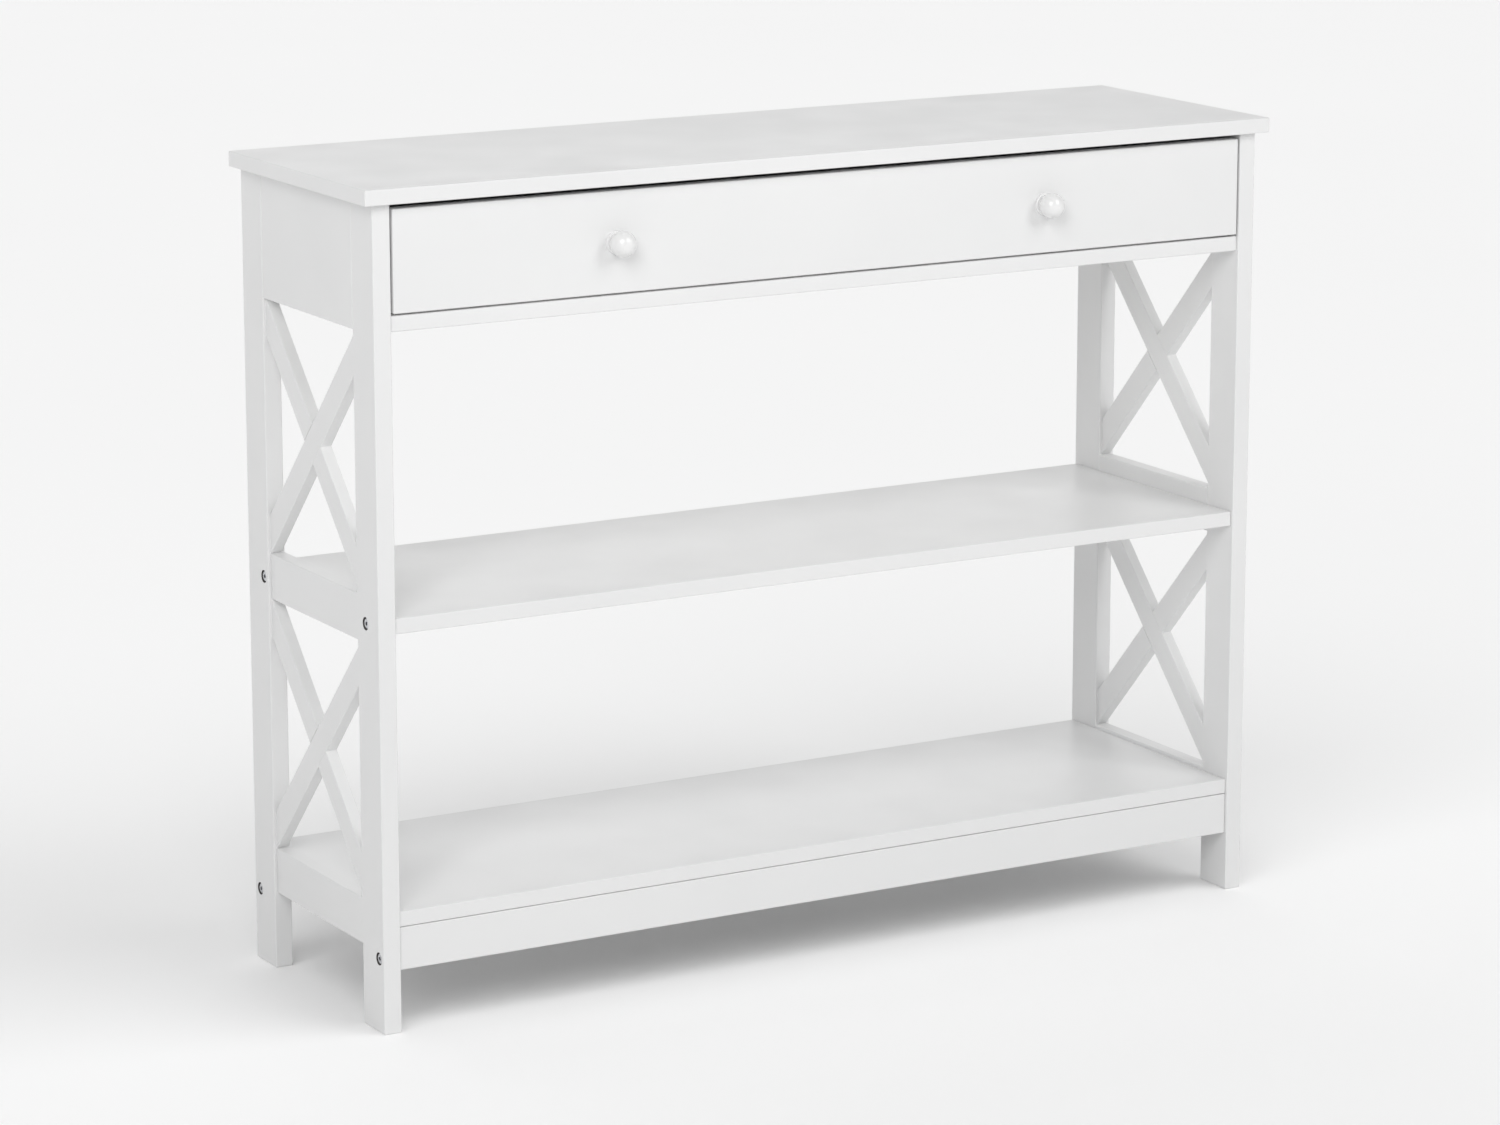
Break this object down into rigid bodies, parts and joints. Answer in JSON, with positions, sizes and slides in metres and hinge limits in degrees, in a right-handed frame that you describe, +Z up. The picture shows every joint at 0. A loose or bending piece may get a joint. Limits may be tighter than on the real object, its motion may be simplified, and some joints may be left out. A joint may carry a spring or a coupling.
{
  "type": "console table",
  "caption": "Narrow white console table on four legs with X-braced ends, a wide drawer with ball knobs, and two open shelves.",
  "frame": {"origin": "on the floor, under the middle of the whole table's bounding box, knobs included", "axes": "+Z up, +X along the table's length to the right seen from the front, -Y the way the drawer opens, +Y towards the wall"},
  "size_m": [1, 0.317, 0.8],
  "materials": {
    "painted_board": "satin white paint over board",
    "painted_knob": "glossy white lacquer",
    "drawer_board": "matte white melamine film over board",
    "hardboard": "matte white face on thin fibreboard",
    "coated_steel": "satin white epoxy coat on sheet steel",
    "zinc_steel": "bright zinc plate",
    "nylon": "moulded white nylon",
    "beech": "bare fluted beech"
  },
  "bodies": {
    "table": {"tabletop": "painted_board", "left_front_leg": "painted_board", "right_front_leg": "painted_board", "left_back_leg": "painted_board", "right_back_leg": "painted_board", "left_side_panel": "painted_board", "right_side_panel": "painted_board", "left_middle_rail": "painted_board", "right_middle_rail": "painted_board", "left_lower_rail": "painted_board", "right_lower_rail": "painted_board", "left_upper_brace_forward": "painted_board", "right_upper_brace_forward": "painted_board", "left_upper_brace_rearward": "painted_board", "right_upper_brace_rearward": "painted_board", "left_lower_brace_forward": "painted_board", "right_lower_brace_forward": "painted_board", "left_lower_brace_rearward": "painted_board", "right_lower_brace_rearward": "painted_board", "drawer_rail": "painted_board", "back_panel": "painted_board", "middle_shelf": "painted_board", "bottom_shelf": "painted_board", "front_apron": "painted_board", "back_apron": "painted_board", "left_frame_runner": "coated_steel", "right_frame_runner": "coated_steel", "frame_roller_rivets": "zinc_steel", "frame_runner_screws": "zinc_steel", "frame_bolts": "zinc_steel", "barrel_nuts": "zinc_steel", "frame_dowels": "beech", "brace_dowels": "beech", "board_dowels": "beech", "cam_discs": "zinc_steel", "cam_bolts": "zinc_steel"},
    "drawer": {"drawer_front": "painted_board", "left_drawer_side": "drawer_board", "right_drawer_side": "drawer_board", "drawer_back": "drawer_board", "drawer_bottom": "hardboard", "left_knob": "painted_knob", "right_knob": "painted_knob", "knob_screws": "zinc_steel", "left_drawer_runner": "coated_steel", "right_drawer_runner": "coated_steel", "drawer_roller_rivets": "zinc_steel", "drawer_runner_screws": "zinc_steel", "drawer_cam_discs": "zinc_steel", "drawer_cam_bolts": "zinc_steel", "drawer_back_screws": "zinc_steel"},
    "left_front_roller": {"left_front_roller": "nylon"},
    "left_rear_roller": {"left_rear_roller": "nylon"},
    "right_front_roller": {"right_front_roller": "nylon"},
    "right_rear_roller": {"right_rear_roller": "nylon"}
  },
  "joints": [
    {"name": "drawer_slide", "type": "slide", "parent": "table", "child": "drawer", "axis": [0, -1, 0], "range_m": [0, 0.18]},
    {"name": "left_front_roller_spin", "type": "hinge", "parent": "table", "child": "left_front_roller", "pos_m": [-0.4663, -0.1015, 0.7085], "axis": [1, 0, 0], "range_deg": [0, 1150]},
    {"name": "left_rear_roller_spin", "type": "hinge", "parent": "drawer", "child": "left_rear_roller", "pos_m": [-0.4642, 0.1125, 0.7045], "axis": [1, 0, 0], "range_deg": [0, 1150]},
    {"name": "right_front_roller_spin", "type": "hinge", "parent": "table", "child": "right_front_roller", "pos_m": [0.4663, -0.1015, 0.7085], "axis": [1, 0, 0], "range_deg": [0, 1150]},
    {"name": "right_rear_roller_spin", "type": "hinge", "parent": "drawer", "child": "right_rear_roller", "pos_m": [0.4642, 0.1125, 0.7045], "axis": [1, 0, 0], "range_deg": [0, 1150]}
  ],
  "couplings": [
    {"joint": "left_front_roller_spin", "follows": "drawer_slide", "rad_per_m": 111.11},
    {"joint": "left_rear_roller_spin", "follows": "drawer_slide", "rad_per_m": 111.11},
    {"joint": "right_front_roller_spin", "follows": "drawer_slide", "rad_per_m": 111.11},
    {"joint": "right_rear_roller_spin", "follows": "drawer_slide", "rad_per_m": 111.11}
  ]
}
